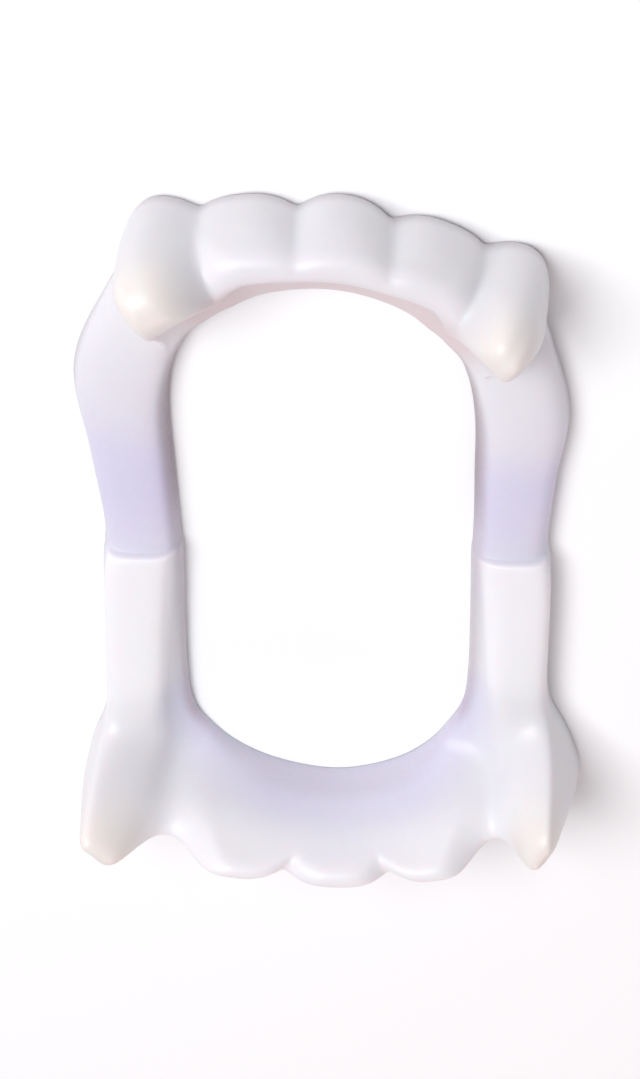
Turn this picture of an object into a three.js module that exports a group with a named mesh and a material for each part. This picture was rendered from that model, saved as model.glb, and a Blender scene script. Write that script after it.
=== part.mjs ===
// Glow-in-the-dark false teeth: one soft moulding, opened out flat, tips up.
// Millimetres, +Z up, gum side on z = 0. The upper row faces -Y and the lower row lies at +Y.
import * as THREE from 'three';

// Driving dimensions
const SHELL = 1.3; // wall left around the hollow under the upper row
const FOOT_EASE = 0.5; // rounding where the walls meet the flat gum side
const CAP_SHARE = 0.75; // most of a section's height that its rounded top may take
const LEG_SHARE = 0.33; // most of a section's width that one leg beside the hollow may take
const CORNER_STEP = 0.3; // lean of the hollow's outer side
const THIN_TOP = 1.0; // least width across the top of a wall

// Swelling of a tooth's lip side: share at the gum, height of the fullest point, share at the edge
const BELLY = { gum: 0.88, full: 0.3, edge: 0.15 };
const TIP_SOFTNESS = 0.06; // rounds the point of a tooth's outline
const SWELL_POWER = 2.2; // roundness of a tooth's plan
const VALLEY_STEP = 0.35; // spacing of the average that softens the valleys between teeth
const VALLEY_WEIGHTS = [1 / 16, 4 / 16, 6 / 16, 4 / 16, 1 / 16];

// Half of the ring, from the middle of the upper row to the middle of the lower row.
// rim: edge of the mouth opening. crest: middle of the top. out: reach of the outer foot past the crest.
// width: across the top. height: top between teeth. reach: height at which the walls meet the crest.
// edge, draft: upright part of the rim and its lean. flare: power of the inner face.
// cap, square: rounding of the top. hollow: depth of the space on the gum side.
// steps: sections up to the next station.
const STATION_COLUMNS = [
  'name', 'rimX', 'rimY', 'crestX', 'crestY', 'out', 'width', 'height', 'reach', 'edge', 'draft', 'flare',
  'cap', 'square', 'hollow', 'steps',
];
const STATIONS = table(STATION_COLUMNS, [
  ['upper_mid', 0.0, 14.0, 0.0, 5.2, 0.7, 2.2, 11.4, 12.4, 5.4, 0.24, 0.6, 1.8, 2.2, 6.0, 8],
  ['upper_side', 7.5, 15.8, 10.3, 6.9, 0.8, 2.2, 11.2, 12.4, 5.2, 0.24, 0.6, 1.8, 2.2, 6.0, 8],
  ['upper_fang', 12.8, 20.2, 18.9, 10.3, 1.8, 4.6, 9.0, 18.0, 4.8, 0.28, 0.45, 9.0, 1.9, 4.6, 8],
  ['upper_corner', 15.2, 23.8, 21.4, 15.2, 2.2, 6.4, 4.8, 12.0, 3.3, 0.32, 0.5, 1.2, 2.4, 0.0, 5],
  ['strap_root', 16.3, 26.8, 22.2, 21.0, 3.6, 8.0, 4.7, 7.0, 3.0, 0.36, 0.7, 1.6, 2.4, 0.0, 4],
  ['strap_bulge', 16.9, 31.8, 22.5, 30.6, 5.6, 9.0, 4.6, 4.6, 4.4, 0.36, 1.0, 1.8, 2.4, 0.0, 3],
  ['strap_taper', 16.7, 40.4, 21.6, 40.0, 4.9, 8.0, 4.2, 4.2, 4.4, 0.36, 1.0, 1.6, 2.4, 0.0, 3],
  ['hinge', 16.3, 50.2, 20.9, 50.2, 4.5, 7.6, 4.0, 4.0, 4.4, 0.3, 1.0, 1.4, 2.4, 0.0, 3],
  ['slab_start', 16.2, 50.9, 21.7, 50.9, 3.7, 6.2, 5.0, 5.0, 3.0, 0.2, 1.0, 0.7, 2.6, 0.0, 3],
  ['slab_end', 15.9, 70.6, 22.5, 72.0, 3.0, 6.2, 5.0, 5.0, 1.8, 0.2, 0.5, 1.3, 3.0, 0.0, 4],
  ['lower_corner', 15.1, 74.6, 22.9, 77.2, 4.6, 6.8, 5.0, 5.0, 1.6, 0.2, 0.5, 1.4, 2.8, 0.0, 8],
  ['lower_fang', 13.4, 77.4, 23.4, 82.4, 4.8, 5.8, 5.4, 5.6, 1.6, 0.2, 0.5, 1.8, 2.4, 0.0, 7],
  ['lower_gap', 10.8, 80.4, 17.6, 85.6, 1.8, 2.8, 11.4, 15.4, 1.4, 0.2, 0.8, 1.6, 2.2, 0.0, 5],
  ['lower_side', 6.6, 83.0, 11.0, 87.3, 1.4, 2.4, 13.4, 16.6, 1.0, 0.2, 1.3, 1.6, 2.2, 0.0, 8],
  ['lower_mid', 0.0, 84.4, 0.0, 88.0, 1.2, 2.4, 13.8, 16.6, 1.0, 0.2, 1.3, 1.6, 2.2, 0.0, 0],
]);

// Teeth. place: along the crest from the row's middle. near, far: half widths on the middle and cheek sides.
// tip, nearEdge, farEdge: heights. nearRound, farRound: outline powers. swell: depth of the lip side.
// tilt: how far the top leans outward. fade: softness where it meets the band.
const TOOTH_COLUMNS = [
  'name', 'row', 'place', 'near', 'far', 'tip', 'nearEdge', 'farEdge', 'nearRound', 'farRound', 'swell',
  'tilt', 'fade',
];
const TEETH = table(TOOTH_COLUMNS, [
  ['upper_middle', 'upper', 0.0, 5.0, 5.0, 12.0, 11.7, 11.7, 3.0, 3.0, 2.1, 0.0, 0.6],
  ['upper_flank', 'upper', 10.3, 5.1, 5.4, 12.0, 11.7, 11.6, 3.0, 3.0, 2.1, 0.0, 0.6],
  ['upper_fang', 'upper', 20.4, 5.2, 6.2, 18.6, 11.6, 8.0, 2.2, 1.4, 3.0, 1.2, 1.3],
  ['lower_middle', 'lower', 0.0, 5.7, 5.7, 17.0, 14.4, 14.4, 2.4, 2.4, 1.2, 0.0, 0.6],
  ['lower_flank', 'lower', 11.3, 5.5, 5.4, 16.8, 14.4, 12.4, 2.2, 2.2, 1.2, 0.0, 0.6],
]);

// Lower fangs, a cone on the low corner. place: along the crest from the row's middle. reach: from the rim.
// near, far, inner, outer: half widths of the foot. tip, foot: heights. power: outline.
// fade: softness of the foot. swell: depth of the lip side.
const LOWER_FANG = {
  place: 25.2, reach: 14.4, near: 7.4, far: 8.2, inner: 7.0, outer: 2.6, tip: 18.2, foot: 5.0, power: 2.0,
  fade: 3.8, swell: 1.4,
};

// How the soft moulding lies: at each y, the slope of y along x, the sideways shift, and the lean per mm of
// height at LEAN_PLACE from the middle, on the +x side and on the -x side
const LEAN_PLACE = 25;
const LIE = table(['name', 'y', 'slope', 'shift', 'plusLean', 'minusLean'], [
  ['front', 0.0, 0.14, -1.2, 0.16, 0.16],
  ['bulge', 28.0, 0.085, 1.0, 0.0, 0.0],
  ['hinge', 50.0, 0.0, 0.1, 0.0, 0.0],
  ['slab', 74.0, -0.04, -0.5, 0.04, 0.08],
  ['back', 92.0, 0.0, -2.0, 0.06, 0.14],
]);

// Points of the section's fine loop, and how it is softened and thinned
const LOOP = { outer: 27, cap: 21, inner: 24, base: 24 };
const BASE_MARKS = { leg: 3, ceiling: 18, corner: 21 }; // last base point of each leg and of the ceiling
const CEILING_RISE = 4; // steepness of the hollow's inner side
const EASING_PASSES = 10;
const KEEP_EVERY = 3;

// More easing of the low corner round the lower fang: full up to near and low, gone by far and high
const CORNER = { passes: 2, near: 6, far: 12, low: 12, high: 18.5 };

const ARC_SAMPLES = 60; // per span, for lengths along the crest
const FACE_SAMPLES = 60; // per face of a section, before even spacing

function table(columns, rows) {
  return rows.map((row) => Object.fromEntries(row.map((value, i) => [columns[i], value])));
}

function clamp(value, low, high) {
  return Math.min(Math.max(value, low), high);
}

function mix(from, to, share) {
  return from + (to - from) * share;
}

function smoothstep(value) {
  const t = clamp(value, 0, 1);
  return t * t * (3 - 2 * t);
}

// Monotone cubic through the knots: no overshoot beside a step
function monotone(knots, values) {
  const last = knots.length - 1;
  const width = knots.slice(1).map((knot, i) => knot - knots[i]);
  const rise = width.map((w, i) => (values[i + 1] - values[i]) / w);
  const slope = values.map((_, i) => {
    if (i === 0 || i === last || rise[i - 1] * rise[i] <= 0) return 0;
    const before = 2 * width[i] + width[i - 1];
    const after = width[i] + 2 * width[i - 1];
    return (before + after) / (before / rise[i - 1] + after / rise[i]);
  });
  return (at) => {
    const place = clamp(at, knots[0], knots[last]);
    const next = knots.findIndex((knot) => knot > place);
    const i = next < 0 ? last - 1 : next - 1;
    const t = (place - knots[i]) / width[i];
    const s = 1 - t;
    return (1 + 2 * t) * s * s * values[i] + t * s * s * width[i] * slope[i]
      + t * t * (3 - 2 * t) * values[i + 1] - t * t * s * width[i] * slope[i + 1];
  };
}

// Points at even spacing along a polyline, its last point left out
function spaced(points, count) {
  const length = [0];
  for (let i = 1; i < points.length; i += 1) {
    length.push(length[i - 1] + Math.hypot(points[i][0] - points[i - 1][0], points[i][1] - points[i - 1][1]));
  }
  const total = length[length.length - 1];
  let from = 0;
  return Array.from({ length: count }, (_, k) => {
    const want = (total * k) / count;
    while (length[from + 1] < want) from += 1;
    const t = (want - length[from]) / (length[from + 1] - length[from] || 1);
    return [0, 1].map((axis) => mix(points[from][axis], points[from + 1][axis], t));
  });
}

// Centripetal curve through the half ring's points, mirrored at both ends so that the ring closes smoothly
function ringCurve(points) {
  const mirror = ([x, y]) => [-x, y];
  const p = [mirror(points[1]), ...points, mirror(points[points.length - 2])];
  const knot = (a, b) => Math.sqrt(Math.hypot(b[0] - a[0], b[1] - a[1]));
  return (at) => {
    const i = Math.min(Math.floor(at), points.length - 2);
    const t = at - i;
    const s = 1 - t;
    const k1 = knot(p[i], p[i + 1]);
    const k2 = knot(p[i + 1], p[i + 2]);
    const k3 = knot(p[i + 2], p[i + 3]);
    return [0, 1].map((axis) => {
      const [p0, p1, p2, p3] = [p[i][axis], p[i + 1][axis], p[i + 2][axis], p[i + 3][axis]];
      const m1 = p2 - p1 + k2 * ((p1 - p0) / k1 - (p2 - p0) / (k1 + k2));
      const m2 = p2 - p1 + k2 * ((p3 - p2) / k3 - (p3 - p1) / (k2 + k3));
      return (1 + 2 * t) * s * s * p1 + t * s * s * m1 + t * t * (3 - 2 * t) * p2 - t * t * s * m2;
    });
  };
}

// Share of a tooth's swell at a height given as a share of the tooth
function belly(share) {
  const { gum, full, edge } = BELLY;
  if (share < full) return gum + (1 - gum) * (1 - ((full - share) / full) ** 2);
  return edge + (1 - edge) * (1 - ((share - full) / (1 - full)) ** 2);
}

// 0 at a tooth's middle and 1 at its edge, rounded at the middle so that the point is soft
function softShare(off) {
  const soft = Math.sqrt(TIP_SOFTNESS);
  return (Math.hypot(off, soft) - soft) / (Math.hypot(1, soft) - soft);
}

// The larger of two heights, with their crossing rounded
function smoothMax(first, second, fade) {
  return (first + second + Math.hypot(first - second, fade)) / 2;
}

// How plump a tooth is at a distance from its middle, given as a share of its half width
function plump(off) {
  return Math.max(1 - off ** SWELL_POWER, 0);
}

// Top height, lip-side swell and tilt at a place along the crest, over the band height between teeth
function sharpTooth(arc, total, band) {
  let height = band;
  let swell = LOWER_FANG.swell * plump(Math.abs(total - arc - LOWER_FANG.place) / LOWER_FANG.far);
  let tilt = 0;
  for (const tooth of TEETH) {
    for (const side of tooth.place > 0 ? [1, -1] : [1]) {
      const along = ((tooth.row === 'upper' ? arc : total - arc) - side * tooth.place) * side;
      const [half, edge, power] = along < 0
        ? [tooth.near, tooth.nearEdge, tooth.nearRound]
        : [tooth.far, tooth.farEdge, tooth.farRound];
      const off = Math.abs(along / half);
      const outline = tooth.tip - (tooth.tip - edge) * softShare(off) ** power;
      height = Math.max(height, smoothMax(outline, band, tooth.fade));
      swell = Math.max(swell, tooth.swell * plump(off));
      tilt = Math.max(tilt, tooth.tilt * plump(off));
    }
  }
  return { height, swell, tilt };
}

// The same with the valleys between teeth softened by an average along the crest
function toothAt(arc, total, band) {
  const sum = { height: 0, swell: 0, tilt: 0 };
  VALLEY_WEIGHTS.forEach((weight, i) => {
    const sharp = sharpTooth(arc + (i - 2) * VALLEY_STEP, total, band);
    for (const name of Object.keys(sum)) sum[name] += weight * sharp[name];
  });
  return sum;
}

// Pulls the lower fang up out of a section's walls, at a distance along the crest from the fang's middle.
// The outer face is stretched to meet it, and the flat foot stays down.
function liftFang(walls, along) {
  const fang = LOWER_FANG;
  const beside = along / (along < 0 ? fang.near : fang.far);
  const lifted = ([r, z]) => {
    const across = r - fang.reach;
    const off = Math.hypot(beside, across / (across < 0 ? fang.inner : fang.outer));
    return smoothMax(fang.tip - (fang.tip - fang.foot) * softShare(off) ** fang.power, z, fang.fade);
  };
  const top = walls[LOOP.outer][1];
  const stretch = lifted(walls[LOOP.outer]) / top;
  return walls.map(([r, z], i) => {
    if (i < LOOP.outer) return [r, z * stretch];
    return [r, mix(z, lifted([r, z]), clamp(z / top, 0, 1))];
  });
}

// Fine loop of one section as [outward distance from the rim, height]:
// up the outer face, over the top, down the inner face, and back under through the hollow
function sectionLoop(row, span, tooth, fromFang) {
  const crown = Math.min(row.cap, CAP_SHARE * tooth.height);
  const wall = tooth.height - crown;
  const half = row.width / 2;
  const reach = Math.max(row.reach, wall);
  const edge = Math.min(row.edge, 0.98 * reach);
  const foot = span + row.out;
  const ease = (z) => FOOT_EASE * Math.max(1 - z / FOOT_EASE, 0) ** 2;
  const swell = (z) => tooth.swell * belly(clamp(z / tooth.height, 0, 1));
  const outerFace = (z) => foot + ((half - row.out) * z) / reach + swell(z);
  const rimFace = (z) => row.draft * Math.min(z, edge);
  const rimTop = rimFace(edge);
  const lean = Math.max(span - half - rimTop, 0);
  const slopeHeight = (share) => edge + (reach - edge) * share ** (1 / row.flare);
  const topShare = wall > edge ? ((wall - edge) / (reach - edge)) ** row.flare : 0;
  const topOut = outerFace(wall);
  const topIn = Math.min(rimFace(wall) + lean * topShare, topOut - THIN_TOP);
  const middle = (topOut + topIn) / 2;
  const radius = (topOut - topIn) / 2;

  const outer = [];
  const cap = [];
  const inner = [];
  for (let i = 0; i <= FACE_SAMPLES; i += 1) {
    const share = i / FACE_SAMPLES;
    const z = wall * share;
    outer.push([outerFace(z) - ease(z), z]);
    const turn = Math.PI * share;
    const across = Math.sign(Math.cos(turn)) * Math.abs(Math.cos(turn)) ** (2 / row.square);
    const rise = Math.abs(Math.sin(turn)) ** (2 / row.square);
    cap.push([middle + radius * across + tooth.tilt * rise, wall + crown * rise]);
    const down = topShare * (1 - share);
    if (wall > edge) inner.push([Math.min(rimTop + lean * down, topIn), slopeHeight(down)]);
  }
  for (let i = 0; i <= FACE_SAMPLES; i += 1) {
    const z = Math.min(wall, edge) * (1 - i / FACE_SAMPLES);
    inner.push([Math.min(rimFace(z), topIn) + ease(z), z]);
  }
  const walls = liftFang([
    ...spaced(outer, LOOP.outer), ...spaced(cap, LOOP.cap), ...spaced(inner, LOOP.inner), [FOOT_EASE, 0],
  ], fromFang);
  for (let pass = 0; pass < EASING_PASSES; pass += 1) {
    const old = walls.map((point) => [...point]);
    for (let i = 1; i < walls.length - 1; i += 1) {
      for (const k of [0, 1]) walls[i][k] = (old[i - 1][k] + 2 * old[i][k] + old[i + 1][k]) / 4;
    }
  }

  // Flat legs on both sides of the hollow, and a ceiling that stays one wall below the shelf
  const legIn = Math.min(SHELL, LEG_SHARE * foot);
  const legOut = foot - Math.min(SHELL, LEG_SHARE * foot);
  const ceilingEnd = legOut - Math.min(CORNER_STEP, 0.05 * foot) - ((row.out - half) * row.hollow) / reach;
  const shelf = (r) => slopeHeight(clamp((r - rimTop) / Math.max(lean, 1), 0, 1));
  const ceiling = (r) => clamp(Math.min(shelf(r) - SHELL, row.hollow), 0, tooth.height);
  const base = [];
  for (let i = 1; i < LOOP.base; i += 1) {
    if (i <= BASE_MARKS.leg) {
      base.push([mix(FOOT_EASE, legIn, i / BASE_MARKS.leg), 0]);
    } else if (i <= BASE_MARKS.ceiling) {
      const share = (i - BASE_MARKS.leg) / (BASE_MARKS.ceiling - BASE_MARKS.leg);
      const r = mix(legIn, ceilingEnd, share);
      base.push([r, ceiling(r) * smoothstep(share * CEILING_RISE)]);
    } else if (i <= BASE_MARKS.corner) {
      const share = (i - BASE_MARKS.ceiling) / (BASE_MARKS.corner - BASE_MARKS.ceiling);
      base.push([mix(ceilingEnd, legOut, share), ceiling(ceilingEnd) * (1 - share)]);
    } else {
      const share = (i - BASE_MARKS.corner) / (LOOP.base - BASE_MARKS.corner);
      base.push([mix(legOut, walls[0][0], share), 0]);
    }
  }
  return [...walls, ...base];
}

// Eases the sections round the lower fang along the ring and then round their walls
function softenCorner(sections, fromFang) {
  const { passes, near, far, low, high } = CORNER;
  const wallEnd = (LOOP.outer + LOOP.cap + LOOP.inner) / KEEP_EVERY;
  const eased = (before, point, after, off) => {
    const beside = 1 - smoothstep((Math.abs(off) - near) / (far - near));
    const share = beside * (1 - smoothstep((point[2] - low) / (high - low)));
    return point.map((value, k) => mix(value, (before[k] + 2 * value + after[k]) / 4, share));
  };
  let soft = sections;
  for (let pass = 0; pass < passes; pass += 1) {
    const along = soft.map((loop, i) => {
      if (i === 0 || i === soft.length - 1) return loop;
      return loop.map((point, j) => eased(soft[i - 1][j], point, soft[i + 1][j], fromFang[i]));
    });
    soft = along.map((loop, i) => loop.map((point, j) => {
      if (j === 0 || j >= wallEnd) return point;
      return eased(loop[j - 1], point, loop[j + 1], fromFang[i]);
    }));
  }
  return soft;
}

// All sections of the half ring, upper middle to lower middle
function halfRing() {
  const rim = ringCurve(STATIONS.map((row) => [row.rimX, row.rimY]));
  const crest = ringCurve(STATIONS.map((row) => [row.crestX, row.crestY]));
  const arcAt = [0];
  let length = 0;
  let before = crest(0);
  for (let i = 1; i <= (STATIONS.length - 1) * ARC_SAMPLES; i += 1) {
    const point = crest(i / ARC_SAMPLES);
    length += Math.hypot(point[0] - before[0], point[1] - before[1]);
    before = point;
    arcAt.push(length);
  }
  const arcOf = (at) => {
    const i = Math.min(Math.floor(at * ARC_SAMPLES), arcAt.length - 2);
    return mix(arcAt[i], arcAt[i + 1], at * ARC_SAMPLES - i);
  };
  const knots = STATIONS.map((_, i) => arcOf(i));
  const names = STATION_COLUMNS.slice(5, -1);
  const columns = names.map((name) => monotone(knots, STATIONS.map((row) => row[name])));
  const spread = (row, i) => Array.from({ length: row.steps }, (_, k) => i + k / row.steps);
  const places = STATIONS.flatMap(spread);
  places.push(STATIONS.length - 1);
  const fromFang = places.map((at) => length - arcOf(at) - LOWER_FANG.place);
  const sections = places.map((at, k) => {
    const arc = arcOf(at);
    const row = Object.fromEntries(names.map((name, i) => [name, columns[i](arc)]));
    const [rimX, rimY] = rim(at);
    const [crestX, crestY] = crest(at);
    const span = Math.hypot(crestX - rimX, crestY - rimY);
    const outX = (crestX - rimX) / span;
    const outY = (crestY - rimY) / span;
    const loop = sectionLoop(row, span, toothAt(arc, length, row.height), fromFang[k]);
    const kept = loop.filter((_, i) => i % KEEP_EVERY === 0);
    return kept.map(([r, z]) => [rimX + outX * r, rimY + outY * r, z]);
  });
  return softenCorner(sections, fromFang);
}

// Closed skin over the ring of sections, the second half mirrored, then laid askew and centred
function mouldingGeometry() {
  const half = halfRing();
  const mirrored = half.slice(1, -1).reverse().map((loop) => loop.map(([x, y, z]) => [-x, y, z]));
  const sections = [...half, ...mirrored];
  const [slope, shift, plusLean, minusLean] = ['slope', 'shift', 'plusLean', 'minusLean'].map(
    (name) => monotone(LIE.map((row) => row.y), LIE.map((row) => row[name])),
  );
  const lay = ([x, y, z]) => {
    const lean = x > 0 ? plusLean(y) : minusLean(y);
    return [x + shift(y) + lean * z * (x / LEAN_PLACE) ** 2, y - slope(y) * x, z];
  };
  const points = sections.flatMap((loop) => loop.map(lay));
  const count = sections[0].length;
  const gap = (from, to) => Math.hypot(...points[from].map((value, axis) => points[to][axis] - value));
  const indices = [];
  for (let i = 0; i < sections.length; i += 1) {
    const next = (i + 1) % sections.length;
    for (let j = 0; j < count; j += 1) {
      const after = (j + 1) % count;
      const [a, b] = [i * count + j, i * count + after];
      const [c, d] = [next * count + j, next * count + after];
      indices.push(...(gap(a, d) < gap(b, c) ? [a, c, d, a, d, b] : [a, c, b, b, c, d]));
    }
  }
  const geometry = new THREE.BufferGeometry();
  geometry.setAttribute('position', new THREE.Float32BufferAttribute(points.flat(), 3));
  geometry.setIndex(indices);
  geometry.computeBoundingBox();
  const { min, max } = geometry.boundingBox;
  geometry.translate(-(min.x + max.x) / 2, -(min.y + max.y) / 2, 0);
  geometry.computeVertexNormals();
  return geometry;
}

const plastic = new THREE.MeshStandardMaterial({ color: 0xeeecf0, roughness: 0.35, metalness: 0 });
const moulding = new THREE.Mesh(mouldingGeometry(), plastic);
moulding.name = 'teeth_moulding';

const group = new THREE.Group();
group.name = 'glow_false_teeth';
group.add(moulding);

export default group;
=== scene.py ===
"""Glow-in-the-dark false teeth: the soft moulding, opened out flat, on a pale studio floor.

The moulding is one closed skin: a section loop carried round the mouth opening, in whole arrays.
Lengths in the tables are millimetres, as a mould maker gives them, and the mesh is in metres.
"""

import math

import bpy
import numpy as np
from bpy.props import FloatProperty, FloatVectorProperty, IntProperty, PointerProperty
from mathutils import Matrix, Vector


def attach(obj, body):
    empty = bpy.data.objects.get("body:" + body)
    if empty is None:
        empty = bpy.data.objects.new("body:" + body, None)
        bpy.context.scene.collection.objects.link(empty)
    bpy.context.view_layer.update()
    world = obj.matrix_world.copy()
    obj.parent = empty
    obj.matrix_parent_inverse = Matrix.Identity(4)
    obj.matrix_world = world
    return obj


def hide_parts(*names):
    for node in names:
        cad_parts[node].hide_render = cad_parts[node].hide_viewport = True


bl_info = {
    "name": "Glow False Teeth",
    "version": (1, 0, 0),
    "blender": (4, 5, 0),
    "location": "3D View > Sidebar > False Teeth",
    "description": "Builds a soft glow plastic false teeth moulding and a small studio",
    "category": "Add Mesh",
}

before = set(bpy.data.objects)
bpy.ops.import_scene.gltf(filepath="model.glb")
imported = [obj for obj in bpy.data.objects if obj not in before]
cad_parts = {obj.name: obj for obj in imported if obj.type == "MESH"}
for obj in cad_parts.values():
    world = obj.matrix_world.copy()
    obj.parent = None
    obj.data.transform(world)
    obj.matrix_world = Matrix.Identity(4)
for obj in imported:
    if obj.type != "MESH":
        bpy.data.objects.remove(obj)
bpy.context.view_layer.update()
MM = 0.001

# Half of the ring, from the middle of the upper row to the middle of the lower row.
# rim: edge of the mouth opening. crest: middle of the top. out: reach of the outer foot past the crest.
# width: across the top. height: top between teeth. reach: height at which the walls meet the crest.
# edge, draft: upright part of the rim and its lean. flare: power of the inner face.
# cap, square: rounding of the top. hollow: depth of the space on the gum side.
# tint: share of the thin colour, the lavender of the thin strap and partly painted shade where the strap dips
# before the hinge. steps: sections up to the next station.
STATION_COLUMNS = (
    "rim_x rim_y crest_x crest_y out width height reach edge draft flare cap square hollow tint steps".split()
)
STATIONS = {
    "upper_mid": (0.0, 14.0, 0.0, 5.2, 0.7, 2.2, 11.4, 12.4, 5.4, 0.24, 0.6, 1.8, 2.2, 6.0, 0.0, 8),
    "upper_side": (7.5, 15.8, 10.3, 6.9, 0.8, 2.2, 11.2, 12.4, 5.2, 0.24, 0.6, 1.8, 2.2, 6.0, 0.0, 8),
    "upper_fang": (12.8, 20.2, 18.9, 10.3, 1.8, 4.6, 9.0, 18.0, 4.8, 0.28, 0.45, 9.0, 1.9, 4.6, 0.0, 8),
    "upper_corner": (15.2, 23.8, 21.4, 15.2, 2.2, 6.4, 4.8, 12.0, 3.3, 0.32, 0.5, 1.2, 2.4, 0.0, 0.0, 5),
    "strap_root": (16.3, 26.8, 22.2, 21.0, 3.6, 8.0, 4.7, 7.0, 3.0, 0.36, 0.7, 1.6, 2.4, 0.0, 0.1, 4),
    "strap_bulge": (16.9, 31.8, 22.5, 30.6, 5.6, 9.0, 4.6, 4.6, 4.4, 0.36, 1.0, 1.8, 2.4, 0.0, 0.3, 3),
    "strap_taper": (16.7, 40.4, 21.6, 40.0, 4.9, 8.0, 4.2, 4.2, 4.4, 0.36, 1.0, 1.6, 2.4, 0.0, 1.0, 3),
    "hinge": (16.3, 50.2, 20.9, 50.2, 4.5, 7.6, 4.0, 4.0, 4.4, 0.3, 1.0, 1.4, 2.4, 0.0, 0.55, 3),
    "slab_start": (16.2, 50.9, 21.7, 50.9, 3.7, 6.2, 5.0, 5.0, 3.0, 0.2, 1.0, 0.7, 2.6, 0.0, 0.35, 3),
    "slab_end": (15.9, 70.6, 22.5, 72.0, 3.0, 6.2, 5.0, 5.0, 1.8, 0.2, 0.5, 1.3, 3.0, 0.0, 0.0, 4),
    "lower_corner": (15.1, 74.6, 22.9, 77.2, 4.6, 6.8, 5.0, 5.0, 1.6, 0.2, 0.5, 1.4, 2.8, 0.0, 0.0, 8),
    "lower_fang": (13.4, 77.4, 23.4, 82.4, 4.8, 5.8, 5.4, 5.6, 1.6, 0.2, 0.5, 1.8, 2.4, 0.0, 0.0, 7),
    "lower_gap": (10.8, 80.4, 17.6, 85.6, 1.8, 2.8, 11.4, 15.4, 1.4, 0.2, 0.8, 1.6, 2.2, 0.0, 0.0, 5),
    "lower_side": (6.6, 83.0, 11.0, 87.3, 1.4, 2.4, 13.4, 16.6, 1.0, 0.2, 1.3, 1.6, 2.2, 0.0, 0.0, 8),
    "lower_mid": (0.0, 84.4, 0.0, 88.0, 1.2, 2.4, 13.8, 16.6, 1.0, 0.2, 1.3, 1.6, 2.2, 0.0, 0.0, 0),
}

# Teeth. place: along the crest from the row's middle. near, far: half widths on the middle and cheek sides.
# tip, near_edge, far_edge: heights. near_round, far_round: outline powers. swell: depth of the lip side.
# tilt: how far the top leans outward. fade: softness where it meets the band.
TOOTH_COLUMNS = "place near far tip near_edge far_edge near_round far_round swell tilt fade".split()
UPPER_TEETH = {
    "middle": (0.0, 5.0, 5.0, 12.0, 11.7, 11.7, 3.0, 3.0, 2.1, 0.0, 0.6),
    "flank": (10.3, 5.1, 5.4, 12.0, 11.7, 11.6, 3.0, 3.0, 2.1, 0.0, 0.6),
    "fang": (20.4, 5.2, 6.2, 18.6, 11.6, 8.0, 2.2, 1.4, 3.0, 1.2, 1.3),
}
LOWER_TEETH = {
    "middle": (0.0, 5.7, 5.7, 17.0, 14.4, 14.4, 2.4, 2.4, 1.2, 0.0, 0.6),
    "flank": (11.3, 5.5, 5.4, 16.8, 14.4, 12.4, 2.2, 2.2, 1.2, 0.0, 0.6),
}

# Lower fangs, a cone on the low corner. place: along the crest from the row's middle. reach: from the rim.
# near, far, inner, outer: half widths of the foot. tip, foot: heights. power: outline.
# fade: softness of the foot. swell: depth of the lip side.
CONE_COLUMNS = "place reach near far inner outer tip foot power fade swell".split()
LOWER_FANG = dict(zip(CONE_COLUMNS, (25.2, 14.4, 7.4, 8.2, 7.0, 2.6, 18.2, 5.0, 2.0, 3.8, 1.4)))

# How the soft moulding lies: at each y, the slope of y along x, the sideways shift, and the lean per mm of
# height at LEAN_PLACE from the middle, on the +x side and on the -x side
LIE_COLUMNS = ("y", "slope", "shift", "plus_lean", "minus_lean")
LEAN_PLACE = 25.0
LIE = {
    "front": (0.0, 0.14, -1.2, 0.16, 0.16),
    "bulge": (28.0, 0.085, 1.0, 0.0, 0.0),
    "hinge": (50.0, 0.0, 0.1, 0.0, 0.0),
    "slab": (74.0, -0.04, -0.5, 0.04, 0.08),
    "back": (92.0, 0.0, -2.0, 0.06, 0.14),
}

CAP_SHARE = 0.75  # most of a section's height that its rounded top may take
LEG_SHARE = 0.33  # most of a section's width that one leg beside the hollow may take
EDGE_SHARE = 0.98  # most of the walls' reach that the upright part of the rim may take
CORNER_STEP = 0.3  # lean of the hollow's outer side
CORNER_SHARE = 0.05  # most of a section's width that this lean may take
THIN_TOP = 1.0  # least width across the top of a wall
BELLY_GUM, BELLY_EDGE = 0.88, 0.15  # share of a lip side's swell at the gum and at the edge
BELLY_FULL = 0.3  # share of the height at which it is fullest
TIP_SOFTNESS = 0.06  # rounds the point of a tooth's outline
SWELL_POWER = 2.2  # roundness of a tooth's plan
VALLEY_STEP = 0.35  # spacing of the average that softens the valleys
OUTER, CAP, INNER, BASE = 45, 35, 40, 40  # points of the section loop's four faces
BASE_LEG, BASE_CEILING, BASE_CORNER = 5, 30, 35  # last base point of each leg and of the ceiling
CEILING_RISE = 4  # steepness of the hollow's inner side
EASING_PASSES = 28  # of each section's walls
FANG_PASSES = 40  # more easing round the lower fang
FACE_SAMPLES = 100  # per face of a section, before even spacing
ARC_SAMPLES = 240  # per span, for lengths along the crest

# Smooth steps as start and width. Along the half ring, in shares of its length from the upper middle
UPPER_END = (0.16, 0.08)
HINGE_APPROACH = (0.42, 0.09)
SLAB_START = (0.515, 0.008)
SLAB_END = (0.66, 0.07)
LOWER_WALL = (0.66, 0.06)
LOWER_ROW = (0.74, 0.06)
# Along the crest from a fang's middle
FANG_SIDE = (2.0, 5.0)
FANG_EASING_SIDE = (6.0, 6.0)
# Up from the gum side
FOOT_TOP = (0.0, 3.0)
SLAB_TOP = (3.0, 1.0)
RIM_SHADE_TOP = (4.0, 3.0)
LOBE_TOP = (7.0, 6.0)
TIP_TOP = (9.0, 10.0)
FANG_EASING_TOP = (12.0, 6.5)
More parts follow.
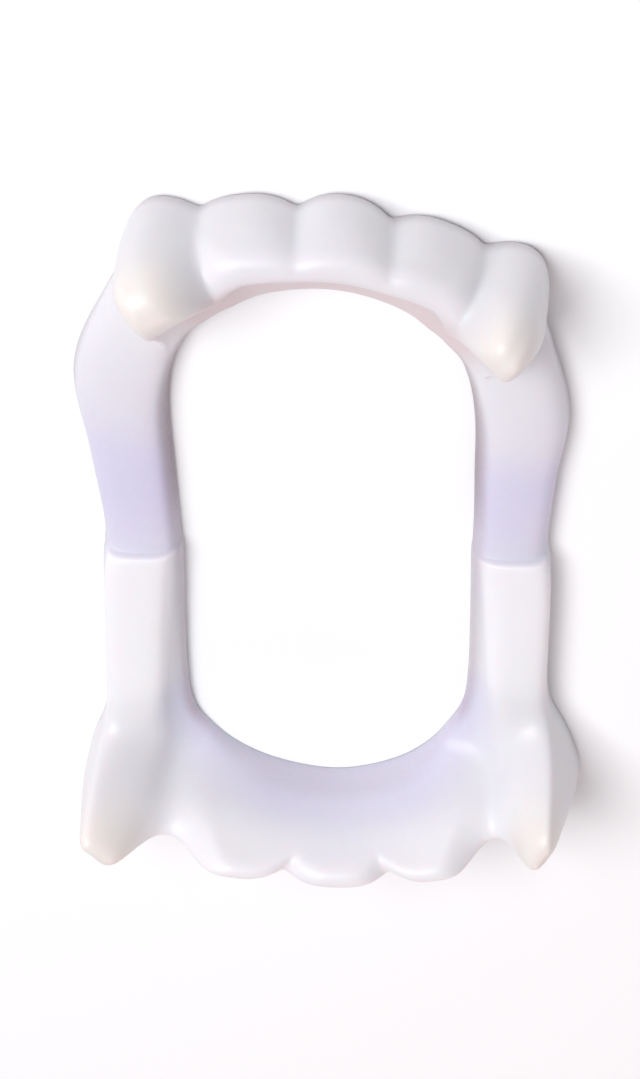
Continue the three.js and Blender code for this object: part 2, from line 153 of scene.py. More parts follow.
# Outward from the rim: where the painted rim shade ends, and, in shares of the way to the crest, where the
# painted shade inside the upper row ends
RIM_SHADE_REACH = (0.3, 1.8)
UPPER_INSIDE_SHADE_REACH = (0.5, 0.35)
WALL_START = 1.0  # start of the painted lavender shade inside the lower row
WALL_SHARE = 0.55  # width of its step as a share of the way to the crest

INSIDE_WALL_SHADE = 0.75  # strength of the painted lavender shade inside the lower row
LOBE_PAINTED_LIGHT = 0.6  # strength of the pale colour on the lobes, painted light on their upper parts
FOOT_SHADE = 0.5  # strength of the painted foot shade away from the rim
SLAB_LESS, LOWER_LESS = 0.5, 0.3  # how much of the painted foot shade fades before the hinge and in the lower row

# The plastic's noises: features per metre, detail and roughness
PLASTIC_NOISE = {
    "cloud": (70.0, 3.0, 0.5),
    "speck": (1400.0, 2.0, 0.7),
    "wave": (110.0, 1.0, 0.5),
    "grain": (2200.0, 2.0, 0.5),
}
NOISE_MEAN = 0.5
FIELD_STRENGTH = {"pale": 0.8, "tip": 0.8, "blush": 0.7, "foot": 0.85}  # in the order of laying on
THIN_STRENGTH, THIN_CLOUDING = 0.75, 0.35
SPECK_STRENGTH = 0.5
CLOUD_ROUGHNESS, SPECK_ROUGHNESS = 0.12, 0.06
GRAIN_RELIEF = 0.04  # against the waves of the mould

# The studio, in metres. A soft light has a place, a size and a colour
KEY_LIGHT = ((0.29, -0.28, 0.61), 0.42, (0.98, 0.98, 1.0))
FILL_LIGHT = ((-0.20, 0.52, 0.20), 0.35, (1.0, 0.70, 0.67))
SKY_COLOUR = (0.96, 0.96, 1.0, 1.0)
CAMERA_AIM = (0.0015, 0.00472, 0.0)
FLOOR_HALF = 2.0  # half of the board's side
FLOOR_CELLS = 8
FLOOR_DROP = 0.00002  # keeps the floor clear of the gum side


def smoothstep(value):
    """0 below 0, 1 above 1, and between them the cubic 3t^2 - 2t^3."""
    t = np.clip(value, 0.0, 1.0)
    return t * t * (3 - 2 * t)


def rising(value, step):
    """A smooth step from 0 to 1 with a start and a width."""
    start, width = step
    return smoothstep((value - start) / width)


def columns(names, rows):
    """A table's rows as one float array per column name."""
    return dict(zip(names, np.array(list(rows.values()), float).T))


def monotone(knots, values, at):
    """Cubic Hermite spans through the knots. A slope is the weighted harmonic mean of the rises on its two
    sides, and nought at the ends and where the rise turns, so the curve never overshoots beside a step."""
    width = np.diff(knots)
    rise = np.diff(values) / width
    turns = rise[:-1] * rise[1:] <= 0
    before = 2 * width[1:] + width[:-1]
    after = width[1:] + 2 * width[:-1]
    left = np.where(turns, 1.0, rise[:-1])
    right = np.where(turns, 1.0, rise[1:])
    inner = np.where(turns, 0.0, (before + after) / (before / left + after / right))
    slope = np.concatenate(([0.0], inner, [0.0]))
    place = np.clip(at, knots[0], knots[-1])
    i = np.clip(np.searchsorted(knots, place, side="right") - 1, 0, len(width) - 1)
    t = (place - knots[i]) / width[i]
    s = 1 - t
    start = (1 + 2 * t) * s * s * values[i] + t * s * s * width[i] * slope[i]
    return start + t * t * (3 - 2 * t) * values[i + 1] - t * t * s * width[i] * slope[i + 1]


def ring_curve(points, at):
    """Centripetal Catmull-Rom curve: each span's end slopes weigh the chords by the roots of their lengths.
    The first and last points are mirrored in x beyond both ends, so that the whole ring closes smoothly."""
    flip = np.array([-1.0, 1.0])
    p = np.vstack([points[1] * flip, points, points[-2] * flip])
    i = np.minimum(at.astype(int), len(points) - 2)
    t = (at - i)[:, None]
    s = 1 - t
    p0, p1, p2, p3 = (p[i + k] for k in range(4))
    k1, k2, k3 = (np.sqrt(np.linalg.norm(d, axis=1))[:, None] for d in (p1 - p0, p2 - p1, p3 - p2))
    m1 = p2 - p1 + k2 * ((p1 - p0) / k1 - (p2 - p0) / (k1 + k2))
    m2 = p2 - p1 + k2 * ((p3 - p2) / k3 - (p3 - p1) / (k2 + k3))
    start = (1 + 2 * t) * s * s * p1 + t * s * s * m1
    return start + t * t * (3 - 2 * t) * p2 - t * t * s * m2


def evenly(r, z, count):
    """Rows of polylines resampled at equal steps of their own length, each row's last point left out."""
    step = np.hypot(np.diff(r, axis=1), np.diff(z, axis=1))
    length = np.concatenate([np.zeros((len(r), 1)), np.cumsum(step, axis=1)], axis=1)
    row = 2.0 * np.arange(len(r))[:, None]
    have = (length / length[:, -1:] + row).ravel()
    want = (np.arange(count) / count + row).ravel()
    return [np.interp(want, have, part.ravel()).reshape(len(r), count) for part in (r, z)]


def belly(share):
    """Share of a tooth's swell at a share of its height: one parabola from the gum up to the fullest height
    and a second one from there to the biting edge."""
    low = BELLY_GUM + (1 - BELLY_GUM) * (1 - ((BELLY_FULL - share) / BELLY_FULL) ** 2)
    high = BELLY_EDGE + (1 - BELLY_EDGE) * (1 - ((share - BELLY_FULL) / (1 - BELLY_FULL)) ** 2)
    return np.where(share < BELLY_FULL, low, high)


def soft_share(off):
    """0 at a tooth's middle and 1 at its edge, rounded at the middle: the hypotenuse of the distance and the
    softness, less the softness, over the same at the edge."""
    soft = math.sqrt(TIP_SOFTNESS)
    return (np.hypot(off, soft) - soft) / (math.hypot(1, soft) - soft)


def smooth_max(first, second, fade):
    """The larger of two heights with the crossing rounded: their mean plus half the hypotenuse of their
    difference and the fade."""
    return (first + second + np.hypot(first - second, fade)) / 2


def plump(off):
    """A tooth's share of its swell at a distance from its middle: 1 less a power of it, and never below 0."""
    return np.maximum(1 - off**SWELL_POWER, 0)


def teeth_along(arc, total, band):
    """Top height, lip-side swell and tilt along the crest, the valleys between teeth softened by a five-point
    (1, 4, 6, 4, 1) / 16 average along it."""
    return sum(
        weight * np.array(sharp_teeth(arc + reach * VALLEY_STEP, total, band))
        for reach, weight in zip((-2, -1, 0, 1, 2), np.array((1, 4, 6, 4, 1)) / 16)
    )


def sharp_teeth(arc, total, band):
    """Heights, swells and tilts of the teeth before their valleys are softened. A tooth's outline falls from
    its tip by a power of the soft share, and joins the band by the smooth maximum."""
    height = band.copy()
    swell, tilt = np.zeros((2, len(arc)))
    for rows, from_middle in ((UPPER_TEETH, arc), (LOWER_TEETH, total - arc)):
        for values in rows.values():
            tooth = dict(zip(TOOTH_COLUMNS, values))
            for side in (1, -1) if tooth["place"] > 0 else (1,):
                along = (from_middle - side * tooth["place"]) * side
                near = along < 0
                half = np.where(near, tooth["near"], tooth["far"])
                edge = np.where(near, tooth["near_edge"], tooth["far_edge"])
                power = np.where(near, tooth["near_round"], tooth["far_round"])
                off = np.abs(along / half)
                outline = tooth["tip"] - (tooth["tip"] - edge) * soft_share(off) ** power
                height = np.maximum(height, smooth_max(outline, band, tooth["fade"]))
                swell = np.maximum(swell, tooth["swell"] * plump(off))
                tilt = np.maximum(tilt, tooth["tilt"] * plump(off))
    beside = np.abs(total - arc - LOWER_FANG["place"]) / LOWER_FANG["far"]
    swell = np.maximum(swell, LOWER_FANG["swell"] * plump(beside))
    return height, swell, tilt


def lift_fang(r, z, along):
    """Heights of the walls with the lower fang pulled up out of them. Its cone falls from the tip by a power
    of the soft share of the elliptic distance from its axis, and the smooth maximum with the walls joins it
    on. The outer face is stretched to meet it."""
    fang = LOWER_FANG
    beside = along / np.where(along < 0, fang["near"], fang["far"])
    across = r - fang["reach"]
    off = np.hypot(beside, across / np.where(across < 0, fang["inner"], fang["outer"]))
    cone = fang["tip"] - (fang["tip"] - fang["foot"]) * soft_share(off) ** fang["power"]
    lifted = smooth_max(cone, z, fang["fade"])
    top = z[:, OUTER : OUTER + 1]
    stretch = lifted[:, OUTER : OUTER + 1] / top
    rise = np.arange(z.shape[1]) - OUTER
    settle = np.clip(z / top, 0, 1)
    return np.where(rise < 0, z * stretch, z + (lifted - z) * settle)


def section_loops(row, span, height, swell, tilt, fang_off, shape):
    """Loops of all sections as distances outward from the rim and heights, one row per section.
    Up the outer face, a straight lean plus the swell; over the top, a superellipse; down the inner face, a
    power curve to the upright rim; then back under, flat on two legs beside the hollow. The walls are spaced
    evenly and eased by repeated (1, 2, 1) / 4 averages."""
    ease_size = shape.foot_ease / MM
    shell = shape.shell / MM
    row = {name: values[:, None] for name, values in row.items()}
    span, height, swell, tilt = (values[:, None] for values in (span, height, swell, tilt))
    share = np.linspace(0.0, 1.0, FACE_SAMPLES + 1)[None, :]

    crown = np.minimum(row["cap"], CAP_SHARE * height)
    wall = height - crown
    half = row["width"] / 2
    reach = np.maximum(row["reach"], wall)
    edge = np.minimum(row["edge"], EDGE_SHARE * reach)
    foot = span + row["out"]
    rim_top = row["draft"] * edge
    lean = np.maximum(span - half - rim_top, 0)
    steep = wall > edge

    def ease(z):
        return ease_size * np.maximum(1 - z / ease_size, 0) ** 2

    def outer_face(z):
        return foot + (half - row["out"]) * z / reach + swell * belly(np.clip(z / height, 0, 1))

    def rim_face(z):
        return row["draft"] * np.minimum(z, edge)

    def slope_height(part):
        return edge + (reach - edge) * part ** (1 / row["flare"])

    def slope_reach(part):
        return rim_top + lean * part

    climb = np.where(steep, np.maximum(wall - edge, 1e-6) / (reach - edge), 1e-9)
    top_share = np.where(steep, climb ** row["flare"], 0.0)
    top_out = outer_face(wall)
    top_in = np.minimum(np.where(steep, slope_reach(top_share), rim_face(wall)), top_out - THIN_TOP)
    middle = (top_out + top_in) / 2
    radius = (top_out - top_in) / 2

    turn = math.pi * share
    bend = 2 / row["square"]
    across = np.sign(np.cos(turn)) * np.abs(np.cos(turn)) ** bend
    rise = np.abs(np.sin(turn)) ** bend
    down = top_share * (1 - share)
    low = np.minimum(wall, edge) * (1 - share)
    slope_r = np.where(steep, np.minimum(slope_reach(down), top_in), np.minimum(rim_face(wall), top_in))
    slope_z = np.where(steep, slope_height(down), wall)
    rim_r = np.minimum(rim_face(low), top_in) + ease(low)
    faces = (
        evenly(outer_face(wall * share) - ease(wall * share), wall * share, OUTER),
        evenly(middle + radius * across + tilt * rise, wall + crown * rise, CAP),
        evenly(np.hstack([slope_r, rim_r]), np.hstack([slope_z, low]), INNER),
    )
    last = (np.full_like(span, ease_size), np.zeros_like(span))
    walls = [np.hstack([face[k] for face in faces] + [last[k]]) for k in (0, 1)]
    walls[1] = lift_fang(*walls, fang_off[:, None])
    for _ in range(EASING_PASSES):
        walls = [np.hstack([w[:, :1], (w[:, :-2] + 2 * w[:, 1:-1] + w[:, 2:]) / 4, w[:, -1:]]) for w in walls]

    leg_in = np.minimum(shell, LEG_SHARE * foot)
    leg_out = foot - leg_in
    step = np.minimum(CORNER_STEP, CORNER_SHARE * foot)
    ceiling_end = leg_out - step - (row["out"] - half) * row["hollow"] / reach

    def ceiling(r):
        shelf = slope_height(np.clip((r - rim_top) / np.maximum(lean, 1), 0, 1))
        return np.clip(np.minimum(shelf - shell, row["hollow"]), 0, height)

    leg = np.arange(1, BASE_LEG + 1)[None, :] / BASE_LEG
    roof = np.arange(1, BASE_CEILING - BASE_LEG + 1)[None, :] / (BASE_CEILING - BASE_LEG)
    corner = np.arange(1, BASE_CORNER - BASE_CEILING + 1)[None, :] / (BASE_CORNER - BASE_CEILING)
    outer_leg = np.arange(1, BASE - BASE_CORNER)[None, :] / (BASE - BASE_CORNER)
    roof_r = leg_in + (ceiling_end - leg_in) * roof
    base_r = [
        ease_size + (leg_in - ease_size) * leg,
        roof_r,
        ceiling_end + (leg_out - ceiling_end) * corner,
        leg_out + (walls[0][:, :1] - leg_out) * outer_leg,
    ]
    base_z = [
        0 * leg_in * leg,
        ceiling(roof_r) * smoothstep(roof * CEILING_RISE),
        ceiling(ceiling_end) * (1 - corner),
        0 * leg_out * outer_leg,
    ]
    return np.hstack([walls[0], *base_r]), np.hstack([walls[1], *base_z])


def half_ring(shape):
    """Sections from the middle of the upper row to the middle of the lower row. Each stands on the line from
    the rim curve to the crest curve at one place, and its columns are monotone cubics of the length along
    the crest. Returns points (section, loop, xyz) and, for the finish, arrays of the same grid."""
    table = columns(STATION_COLUMNS, STATIONS)
    rim_points = np.stack([table["rim_x"], table["rim_y"]], axis=1)
    crest_points = np.stack([table["crest_x"], table["crest_y"]], axis=1)
    last = len(STATIONS) - 1
    steps = table["steps"].astype(int) * shape.fineness
    places = np.concatenate([i + np.arange(n) / n for i, n in enumerate(steps[:-1])] + [[last]])
    fine = np.linspace(0, last, last * ARC_SAMPLES + 1)
    strides = np.linalg.norm(np.diff(ring_curve(crest_points, fine), axis=0), axis=1)
    lengths = np.concatenate([[0.0], np.cumsum(strides)])
    arc = np.interp(places, fine, lengths)
    knots = np.interp(np.arange(last + 1), fine, lengths)
    row = {name: monotone(knots, table[name], arc) for name in STATION_COLUMNS[4:-1]}
    rim = ring_curve(rim_points, places)
    crest = ring_curve(crest_points, places)
    span = np.linalg.norm(crest - rim, axis=1)
    outward = (crest - rim) / span[:, None]
    fang_off = lengths[-1] - arc - LOWER_FANG["place"]
    r, z = section_loops(row, span, *teeth_along(arc, lengths[-1], row["height"]), fang_off, shape)
    plan = rim[:, None, :] + outward[:, None, :] * r[:, :, None]
    points = soften_corner(np.concatenate([plan, z[:, :, None]], axis=2), fang_off)
    return points, finish_fields(arc, lengths[-1], row, r, z, span)


def soften_corner(points, fang_off):
    """The low corner round the lower fang, smoothed by repeated (1, 2, 1) / 4 averages along the ring and
    round the walls. The share fades out away from the fang and towards its tip."""
    beside = 1 - rising(np.abs(fang_off), FANG_EASING_SIDE)[:, None, None]
    walls = OUTER + CAP + INNER
    for _ in range(FANG_PASSES):
        share = beside * (1 - rising(points[:, :, 2:], FANG_EASING_TOP))
        eased = points.copy()
        eased[1:-1] = (points[:-2] + 2 * points[1:-1] + points[2:]) / 4
        points = points + share * (eased - points)
        eased = points.copy()
        eased[:, 1:walls] = (points[:, : walls - 1] + 2 * points[:, 1:walls] + points[:, 2 : walls + 1]) / 4
        points = points + share * (eased - points)
    return points


def finish_fields(arc, total, row, r, z, span):
    """Shares from 0 to 1 that tell the finish where it is, each made of smooth steps of the share of the half
    ring, the distance from the rim and the height. thin: the lavender strap, partly painted shade where
    it dips before the hinge, and painted shade inside the lower row. tip: the upper part of a fang. foot:
    painted shade on the rim and the lowest part of the walls. blush: painted pinkish shade inside the upper
    row. pale: painted light on the top of the slabs and the lobes of the lower row."""
    along = (arc / total)[:, None]
    reach = span[:, None]
    lower = rising(along, LOWER_ROW)
    slab = rising(along, SLAB_START) * (1 - rising(along, SLAB_END))
    inside = 1 - rising(r, (WALL_START, WALL_SHARE * reach))
    # lavender of the thin strap, partly painted shade where it dips before the hinge; inside the lower row,
    # painted shade
    thin = np.maximum(row["tint"][:, None], INSIDE_WALL_SHADE * rising(along, LOWER_WALL) * inside)
    fang = np.zeros_like(arc)
    for place in (UPPER_TEETH["fang"][0], total - LOWER_FANG["place"]):
        fang = np.maximum(fang, 1 - rising(np.abs(arc - place), FANG_SIDE))
    tip = fang[:, None] * rising(z, TIP_TOP)
    # painted shade: darker on the rim's inner wall and low on all walls, where shade falls near the floor
    rim = (1 - rising(r, RIM_SHADE_REACH)) * (1 - rising(z, RIM_SHADE_TOP))
    fading = 1 - SLAB_LESS * rising(along, HINGE_APPROACH) - LOWER_LESS * lower
    foot = np.maximum(FOOT_SHADE * (1 - rising(z, FOOT_TOP)), rim) * fading
    # painted shade: pinkish inside the upper row, whose inner face turns away from the key light
    blush = (1 - rising(along, UPPER_END)) * (1 - rising(r / reach, UPPER_INSIDE_SHADE_REACH))
    # painted light: the slab tops and the upper parts of the lobes made whiter, where the light falls on them
    pale = np.maximum(slab * rising(z, SLAB_TOP), LOBE_PAINTED_LIGHT * lower * rising(z, LOBE_TOP))
    return {"thin": thin, "tip": tip, "foot": foot, "blush": blush, "pale": pale}


def whole_ring(shape):
    """Vertices in metres, quads and finish fields of the closed skin: the half ring and its mirror image in x
    run backwards, then laid askew by y' = y - slope(y) x and x' = x + shift(y) + lean(y) z x^2 / place^2, and
    centred."""
    half, fields = half_ring(shape)
    back = half[1:-1][::-1] * np.array([-1.0, 1.0, 1.0])
    points = np.concatenate([half, back])
    fields = {name: np.concatenate([f, f[1:-1][::-1]]) for name, f in fields.items()}
    lie = columns(LIE_COLUMNS, LIE)
    x, y, z = (points[:, :, k] for k in range(3))
    slope, shift, plus, minus = (monotone(lie["y"], lie[name], y) for name in LIE_COLUMNS[1:])
    lean = np.where(x > 0, plus, minus)
    laid = np.stack([x + shift + lean * z * (x / LEAN_PLACE) ** 2, y - slope * x, z], axis=2)
    middle = (laid.min(axis=(0, 1)) + laid.max(axis=(0, 1))) / 2
    laid -= middle * np.array([1.0, 1.0, 0.0])
    sections, count = laid.shape[:2]
    i = np.arange(sections)[:, None]
    j = np.arange(count)[None, :]
    a = i * count + j
    b = i * count + (j + 1) % count
    c = (i + 1) % sections * count + j
    d = (i + 1) % sections * count + (j + 1) % count
    quads = np.stack([a, c, d, b], axis=2).reshape(-1, 4)
    return laid.reshape(-1, 3) * MM, quads, {name: f.ravel() for name, f in fields.items()}


def mesh_object(name, points, quads, fields=None):
    """A smooth-shaded mesh object at the origin from arrays of points, quads and point fields."""
    mesh = bpy.data.meshes.new(name)
    mesh.vertices.add(len(points))
    mesh.vertices.foreach_set("co", np.ascontiguousarray(points, np.float32).ravel())
    mesh.loops.add(quads.size)
    mesh.loops.foreach_set("vertex_index", quads.astype(np.int32).ravel())
    mesh.polygons.add(len(quads))
    mesh.polygons.foreach_set("loop_start", np.arange(0, quads.size, 4, dtype=np.int32))
    mesh.polygons.foreach_set("use_smooth", np.ones(len(quads), bool))
    for label, values in (fields or {}).items():
        attribute = mesh.attributes.new(label, "FLOAT", "POINT")
        attribute.data.foreach_set("value", values.astype(np.float32))
    mesh.update(calc_edges=True)
    if mesh.validate():
        raise RuntimeError(f"{name}: the mesh had faulty faces")
    piece = bpy.data.objects.new(name, mesh)
    bpy.context.scene.collection.objects.link(piece)
    return piece


class Wire:
    """A node's output socket that takes part in Python arithmetic: each operator adds one Math node."""

    def __init__(self, socket):
        self.socket = socket

    @staticmethod
    def node(tree, kind, settings, sockets, output=0):
        """Adds a node of a type, makes its settings, then fills its sockets with values or links."""
        made = tree.nodes.new(kind)
        for name, value in settings.items():
            setattr(made, name, value)
        for key, value in sockets.items():
            if isinstance(value, Wire):
                tree.links.new(value.socket, made.inputs[key])
            else:
                made.inputs[key].default_value = value
        return Wire(made.outputs[output]) if len(made.outputs) else made

    def math(self, operation, first, second):
        sockets = {0: first, 1: second}
        return Wire.node(self.socket.id_data, "ShaderNodeMath", {"operation": operation}, sockets)

    def __add__(self, other):
        return self.math("ADD", self, other)

    def __sub__(self, other):
        return self.math("SUBTRACT", self, other)

    def __rsub__(self, other):
        return self.math("SUBTRACT", other, self)

    def __mul__(self, other):
        return self.math("MULTIPLY", self, other)

    __radd__ = __add__
    __rmul__ = __mul__


def fresh_tree(name):
    """A new node material with an empty tree, and its tree."""
    material = bpy.data.materials.new(name)
    material.use_nodes = True
    material.node_tree.nodes.clear()
    return material, material.node_tree


def field(tree, name):
    """One of the mesh's point fields."""
    return Wire.node(tree, "ShaderNodeAttribute", {"attribute_name": name}, {}, output="Fac")


def noise(tree, place, scale, detail, roughness=0.5):
    """Noise round 0.5 at a place, its scale in features per metre."""
    sockets = {"Vector": place, "Scale": scale, "Detail": detail, "Roughness": roughness}
    return Wire.node(tree, "ShaderNodeTexNoise", {}, sockets)


def blend(tree, share, first, second):
    """Colour mix: the first colour at share 0 and the second at share 1."""
    settings = {"data_type": "RGBA", "clamp_factor": True}
    return Wire.node(tree, "ShaderNodeMix", settings, {0: share, 6: first, 7: second}, output=2)


def glow_plastic(finish):
    """Pale soft plastic filled with glow powder: milky body, lavender where it is thin, with painted shade on
    the strap's dip and inside the lower row, painted light on the slabs and lobes, ivory fang tips, painted
    pinkish shade inside the upper row, painted darker shade at the rim and foot, with faint clouding, powder
    specks and a satin skin with slight mould waviness."""
    material, tree = fresh_tree("glow_plastic")
    place = Wire.node(tree, "ShaderNodeTexCoord", {}, {}, output="Object")
    cloud, speck, wave, grain = (noise(tree, place, *values) for values in PLASTIC_NOISE.values())
    clouding = cloud - NOISE_MEAN
    specks = speck - NOISE_MEAN
    # lavender of thin plastic and painted shade, broken by the clouding
    thin_and_shade_share = field(tree, "thin") * THIN_STRENGTH + clouding * THIN_CLOUDING
    colour = blend(tree, thin_and_shade_share, tuple(finish.body), tuple(finish.thin))
    # lays on the painted light on the tops, the fang tips, and the painted shade inside the upper row and at
    # the foot
    for name, strength in FIELD_STRENGTH.items():
        colour = blend(tree, field(tree, name) * strength, colour, tuple(getattr(finish, name)))
    colour = blend(tree, specks * SPECK_STRENGTH, colour, tuple(finish.speck))
    rough = clouding * CLOUD_ROUGHNESS + specks * SPECK_ROUGHNESS + finish.roughness
    relief = wave + grain * GRAIN_RELIEF
    bump = Wire.node(tree, "ShaderNodeBump", {}, {"Strength": 0.25, "Distance": 0.0006, "Height": relief})
    shader = Wire.node(
        tree,
        "ShaderNodeBsdfPrincipled",
        {"subsurface_method": "RANDOM_WALK"},
        {
            "Base Color": colour,
            "Roughness": rough,
            "Normal": bump,
            "IOR": 1.5,
            "Subsurface Weight": finish.milkiness,
            "Subsurface Radius": (1.0, 0.45, 0.55),
            "Subsurface Scale": finish.depth,
            "Coat Weight": 0.12,
            "Coat Roughness": 0.3,
        },
    )
    Wire.node(tree, "ShaderNodeOutputMaterial", {}, {"Surface": shader})
    return material


def pale_floor(studio):
    """Matt pale board with a faint tooth."""
    material, tree = fresh_tree("pale_floor")
    place = Wire.node(tree, "ShaderNodeTexCoord", {}, {}, output="Object")
    tooth = noise(tree, place, 900.0, 3.0)
    bump = Wire.node(tree, "ShaderNodeBump", {}, {"Strength": 0.05, "Distance": 0.0003, "Height": tooth})
    sockets = {"Base Color": tuple(studio.floor), "Roughness": 0.7, "Normal": bump}
    shader = Wire.node(tree, "ShaderNodeBsdfPrincipled", {}, sockets)
    Wire.node(tree, "ShaderNodeOutputMaterial", {}, {"Surface": shader})
    return material


class MouldingShape(bpy.types.PropertyGroup):
    """Sizes of the moulding and its mesh"""

    shell: FloatProperty(
        name="Shell", description="Wall left round the hollow under the upper row",
        default=0.0013, min=0.0008, max=0.003, unit="LENGTH", precision=4,
    )
    foot_ease: FloatProperty(
        name="Foot rounding", description="Rounding where the walls meet the flat gum side",
        default=0.0005, min=0.0001, max=0.001, unit="LENGTH", precision=4,
    )
    fineness: IntProperty(
        name="Fineness", description="Mesh sections for each section of the plain model",
        default=4, min=1, max=4, subtype="UNSIGNED",
    )


class PlasticFinish(bpy.types.PropertyGroup):
    """Colours and skin of the plastic, with its painted light and shade"""

    body: FloatVectorProperty(
        name="Body", description="Milky colour of the thick plastic",
        default=(0.765, 0.75, 0.77, 1.0), size=4, min=0, max=1, subtype="COLOR",
    )
    # painted light on the slab tops and the lobes
    pale: FloatVectorProperty(
        name="Pale", description="Whiter colour of the thickest plastic",
        default=(0.88, 0.87, 0.885, 1.0), size=4, min=0, max=1, subtype="COLOR",
    )
    # lavender of thin plastic, also used as painted shade on the strap's dip and inside the lower row
    thin: FloatVectorProperty(
        name="Thin", description="Colour where the plastic is thin",
        default=(0.62, 0.59, 0.78, 1.0), size=4, min=0, max=1, subtype="COLOR",
    )
    tip: FloatVectorProperty(
        name="Tip", description="Warmer colour of the fang tips",
        default=(0.81, 0.76, 0.70, 1.0), size=4, min=0, max=1, subtype="COLOR",
    )
    # painted shade: pinkish inside the upper row
    blush: FloatVectorProperty(
        name="Blush", description="Pinker colour inside the upper row",
        default=(0.68, 0.54, 0.54, 1.0), size=4, min=0, max=1, subtype="COLOR",
    )
    # painted shade low on the walls and on the rim
    foot: FloatVectorProperty(
        name="Foot", description="Darker colour low on the walls",
        default=(0.27, 0.20, 0.23, 1.0), size=4, min=0, max=1, subtype="COLOR",
    )
    speck: FloatVectorProperty(
        name="Specks", description="Colour of the glow powder specks",
        default=(0.80, 0.80, 0.76, 1.0), size=4, min=0, max=1, subtype="COLOR",
    )
    roughness: FloatProperty(
        name="Roughness", description="Mean roughness of the skin",
        default=0.44, min=0.05, max=0.8, subtype="FACTOR",
    )
    milkiness: FloatProperty(
        name="Milkiness", description="Share of light that spreads inside the plastic",
        default=0.5, min=0, max=1, subtype="FACTOR",
    )
    depth: FloatProperty(
        name="Light depth", description="How far light spreads inside the plastic",
        default=0.002, min=0, max=0.01, unit="LENGTH", precision=4,
    )


class StudioSet(bpy.types.PropertyGroup):
    """Floor, lights and camera"""

    floor: FloatVectorProperty(
        name="Floor", description="Colour of the floor board",
        default=(0.96, 0.96, 0.96, 1.0), size=4, min=0, max=1, subtype="COLOR",
    )
    key: FloatProperty(
        name="Key light", description="Power of the main soft light",
        default=4.5, min=0, unit="POWER",
    )
    fill: FloatProperty(
        name="Fill light", description="Power of the second soft light",
        default=0.8, min=0, unit="POWER",
    )
    sky: FloatProperty(
        name="Sky", description="Strength of the even light all round",
        default=0.40, min=0, subtype="UNSIGNED",
    )
    elevation: FloatProperty(
        name="Elevation", description="Camera's height above the horizon",
        default=math.radians(52.0), subtype="ANGLE",
    )
    roll: FloatProperty(
        name="Roll", description="Turn of the picture",
        default=math.radians(181.2), subtype="ANGLE",
    )
    distance: FloatProperty(
        name="Distance", description="From the camera to the aimed point",
        default=0.7, min=0.2, unit="LENGTH",
    )
    lens: FloatProperty(
        name="Lens", description="Focal length in millimetres",
        default=204.9, min=20, unit="CAMERA",
    )


class GLOWTEETH_OT_moulding(bpy.types.Operator):
    """Build the false teeth moulding in place of the plain model"""

    bl_idname = "glowteeth.moulding"
    bl_label = "Moulding"

    def execute(self, context):
        points, quads, fields = whole_ring(context.scene.teeth_shape)
        moulding = mesh_object("false_teeth", points, quads, fields)
        moulding.data.materials.append(glow_plastic(context.scene.teeth_finish))
        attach(moulding, "root")
        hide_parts("teeth_moulding")
        return {"FINISHED"}


class GLOWTEETH_OT_studio(bpy.types.Operator):
    """Build the pale floor, the soft lights and the camera"""

    bl_idname = "glowteeth.studio"
    bl_label = "Studio"

    def execute(self, context):
        studio = context.scene.teeth_studio
        floor_board(studio)
        soft_light("key_light", studio.key, *KEY_LIGHT)
        soft_light("fill_light", studio.fill, *FILL_LIGHT)
        even_sky(context.scene, studio)
        photo_camera(context.scene, studio)
        context.scene.view_settings.view_transform = "Standard"
        return {"FINISHED"}


def floor_board(studio):
    """A flat square grid just below the gum side."""
    row = FLOOR_CELLS + 1
    side = np.linspace(-FLOOR_HALF, FLOOR_HALF, row)
    x, y = np.meshgrid(side, side)
    points = np.stack([x, y, np.full_like(x, -FLOOR_DROP)], axis=2).reshape(-1, 3)
    corner = (np.arange(FLOOR_CELLS)[:, None] * row + np.arange(FLOOR_CELLS)[None, :]).ravel()
    quads = np.stack([corner, corner + 1, corner + row + 1, corner + row], axis=1)
    floor = mesh_object("floor_board", points, quads)
    floor.data.materials.append(pale_floor(studio))


def soft_light(name, power, place, size, colour):
    """A square soft box that looks at the middle of the moulding."""
    light = bpy.data.lights.new(name, "AREA")
    light.size = size
    light.energy = power
    light.color = colour
    lamp = bpy.data.objects.new(name, light)
    lamp.location = place
    lamp.rotation_euler = (-Vector(place)).to_track_quat("-Z", "Y").to_euler()
    lamp.visible_camera = False
    bpy.context.scene.collection.objects.link(lamp)


def even_sky(scene, studio):
    """Even pale light from all round."""
    world = bpy.data.worlds.new("even_sky")
    world.use_nodes = True
    background = world.node_tree.nodes["Background"]
    background.inputs["Color"].default_value = SKY_COLOUR
    background.inputs["Strength"].default_value = studio.sky
    scene.world = world


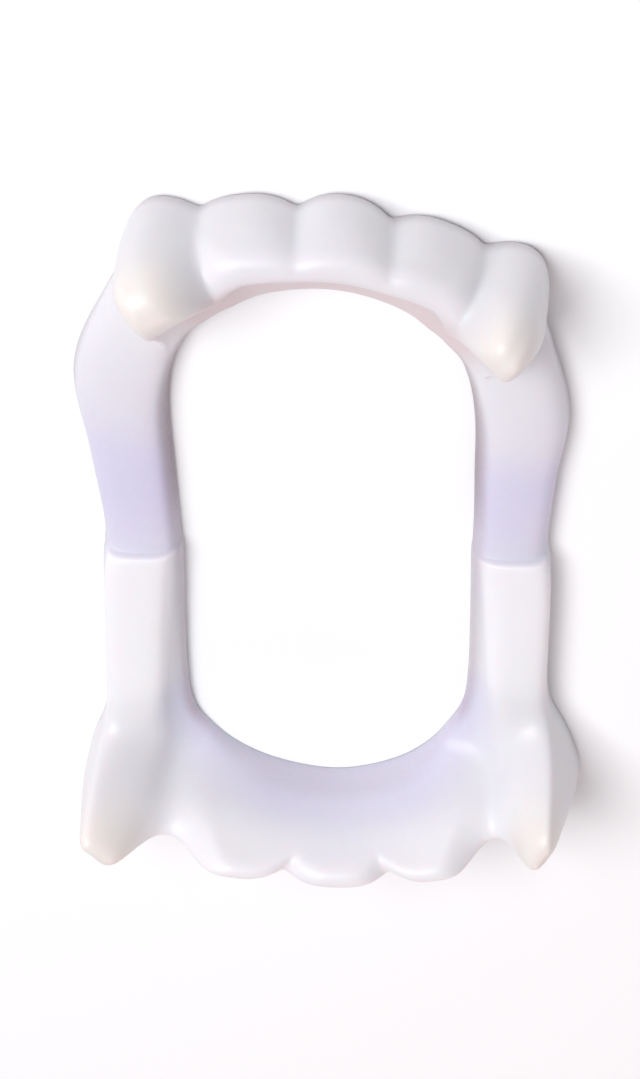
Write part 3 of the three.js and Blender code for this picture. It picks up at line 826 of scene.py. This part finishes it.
def photo_camera(scene, studio):
    """Camera above the upper row, looking towards the lower row, with the picture turned over."""
    aim = Vector(CAMERA_AIM)
    sine, cosine = math.sin(studio.elevation), math.cos(studio.elevation)
    ahead = Vector((0.0, cosine, -sine))
    level = Vector((1.0, 0.0, 0.0))
    upright = level.cross(ahead)
    across = level * math.cos(studio.roll) + upright * math.sin(studio.roll)
    above = upright * math.cos(studio.roll) - level * math.sin(studio.roll)
    turn = Matrix((across, above, -ahead)).transposed()
    data = bpy.data.cameras.new("photo_camera")
    data.lens = studio.lens
    data.clip_start, data.clip_end = 0.05, 10.0
    camera = bpy.data.objects.new("photo_camera", data)
    camera.matrix_world = Matrix.Translation(aim - ahead * studio.distance) @ turn.to_4x4()
    scene.collection.objects.link(camera)
    scene.camera = camera


class GLOWTEETH_PT_sidebar(bpy.types.Panel):
    """False teeth in the sidebar"""

    bl_idname = "GLOWTEETH_PT_sidebar"
    bl_label = "False Teeth"
    bl_space_type = "VIEW_3D"
    bl_region_type = "UI"
    bl_category = "False Teeth"

    def draw(self, context):
        layout = self.layout
        groups = (
            (GLOWTEETH_OT_moulding, (context.scene.teeth_shape, context.scene.teeth_finish)),
            (GLOWTEETH_OT_studio, (context.scene.teeth_studio,)),
        )
        for operator, settings in groups:
            box = layout.box()
            box.operator(operator.bl_idname)
            for group in settings:
                for name in group.__annotations__:
                    box.prop(group, name)


CLASSES = (
    MouldingShape,
    PlasticFinish,
    StudioSet,
    GLOWTEETH_OT_moulding,
    GLOWTEETH_OT_studio,
    GLOWTEETH_PT_sidebar,
)


def register():
    for cls in CLASSES:
        bpy.utils.register_class(cls)
    bpy.types.Scene.teeth_shape = PointerProperty(type=MouldingShape)
    bpy.types.Scene.teeth_finish = PointerProperty(type=PlasticFinish)
    bpy.types.Scene.teeth_studio = PointerProperty(type=StudioSet)


def unregister():
    del bpy.types.Scene.teeth_studio
    del bpy.types.Scene.teeth_finish
    del bpy.types.Scene.teeth_shape
    for cls in reversed(CLASSES):
        bpy.utils.unregister_class(cls)


def main():
    register()
    bpy.ops.glowteeth.moulding()
    bpy.ops.glowteeth.studio()


if __name__ == "__main__":
    main()
